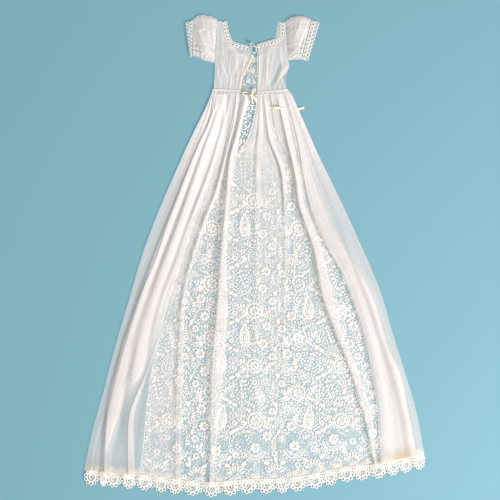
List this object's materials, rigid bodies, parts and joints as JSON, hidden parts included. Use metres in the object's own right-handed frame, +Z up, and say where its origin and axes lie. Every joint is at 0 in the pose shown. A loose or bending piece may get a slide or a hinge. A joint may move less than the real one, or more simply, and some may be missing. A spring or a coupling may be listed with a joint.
{
  "type": "christening gown",
  "caption": "Long baby christening gown laid flat back up: gathered net skirt over a lace front panel, rosette hem lace, short puffed sleeves, drawn neck and a ribbon at the waist",
  "frame": {"origin": "middle of the gown's flat outline, on the surface that it lies on", "axes": "+Y runs from hem to neck, +Z is up off the surface, +X is to the right as seen from above"},
  "size_m": [0.816, 1.156, 0.0128],
  "materials": {
    "net": "fine cotton net, white gone slightly warm with age",
    "floral_lace": "white floral lace with raised outlines",
    "edging_lace": "cream white looped needle lace",
    "casing": "doubled net over a cream ribbon",
    "tape": "cream cotton tape",
    "ribbon": "narrow cream yellow satin ribbon"
  },
  "bodies": {
    "root": {"skirt_front_lace": "floral_lace", "skirt_front_net_left": "net", "skirt_front_net_right": "net", "hem_edging_front": "edging_lace", "skirt_back_left": "net", "skirt_back_right": "net", "hem_edging_back_left": "edging_lace", "hem_edging_back_right": "edging_lace", "waistband_front": "net", "waist_casing_back_left": "casing", "waist_casing_back_right": "casing", "bodice_front": "floral_lace", "bodice_back_left": "net", "bodice_back_right": "net", "placket_tape_left": "tape", "neck_edging_front": "edging_lace", "neck_edging_back_left": "edging_lace", "neck_edging_back_right": "edging_lace", "sleeve_left": "net", "sleeve_right": "net", "cuff_lace_left": "edging_lace", "cuff_lace_right": "edging_lace", "neck_tie": "tape", "waist_bow": "ribbon", "waist_ribbon": "ribbon"}
  },
  "joints": []
}
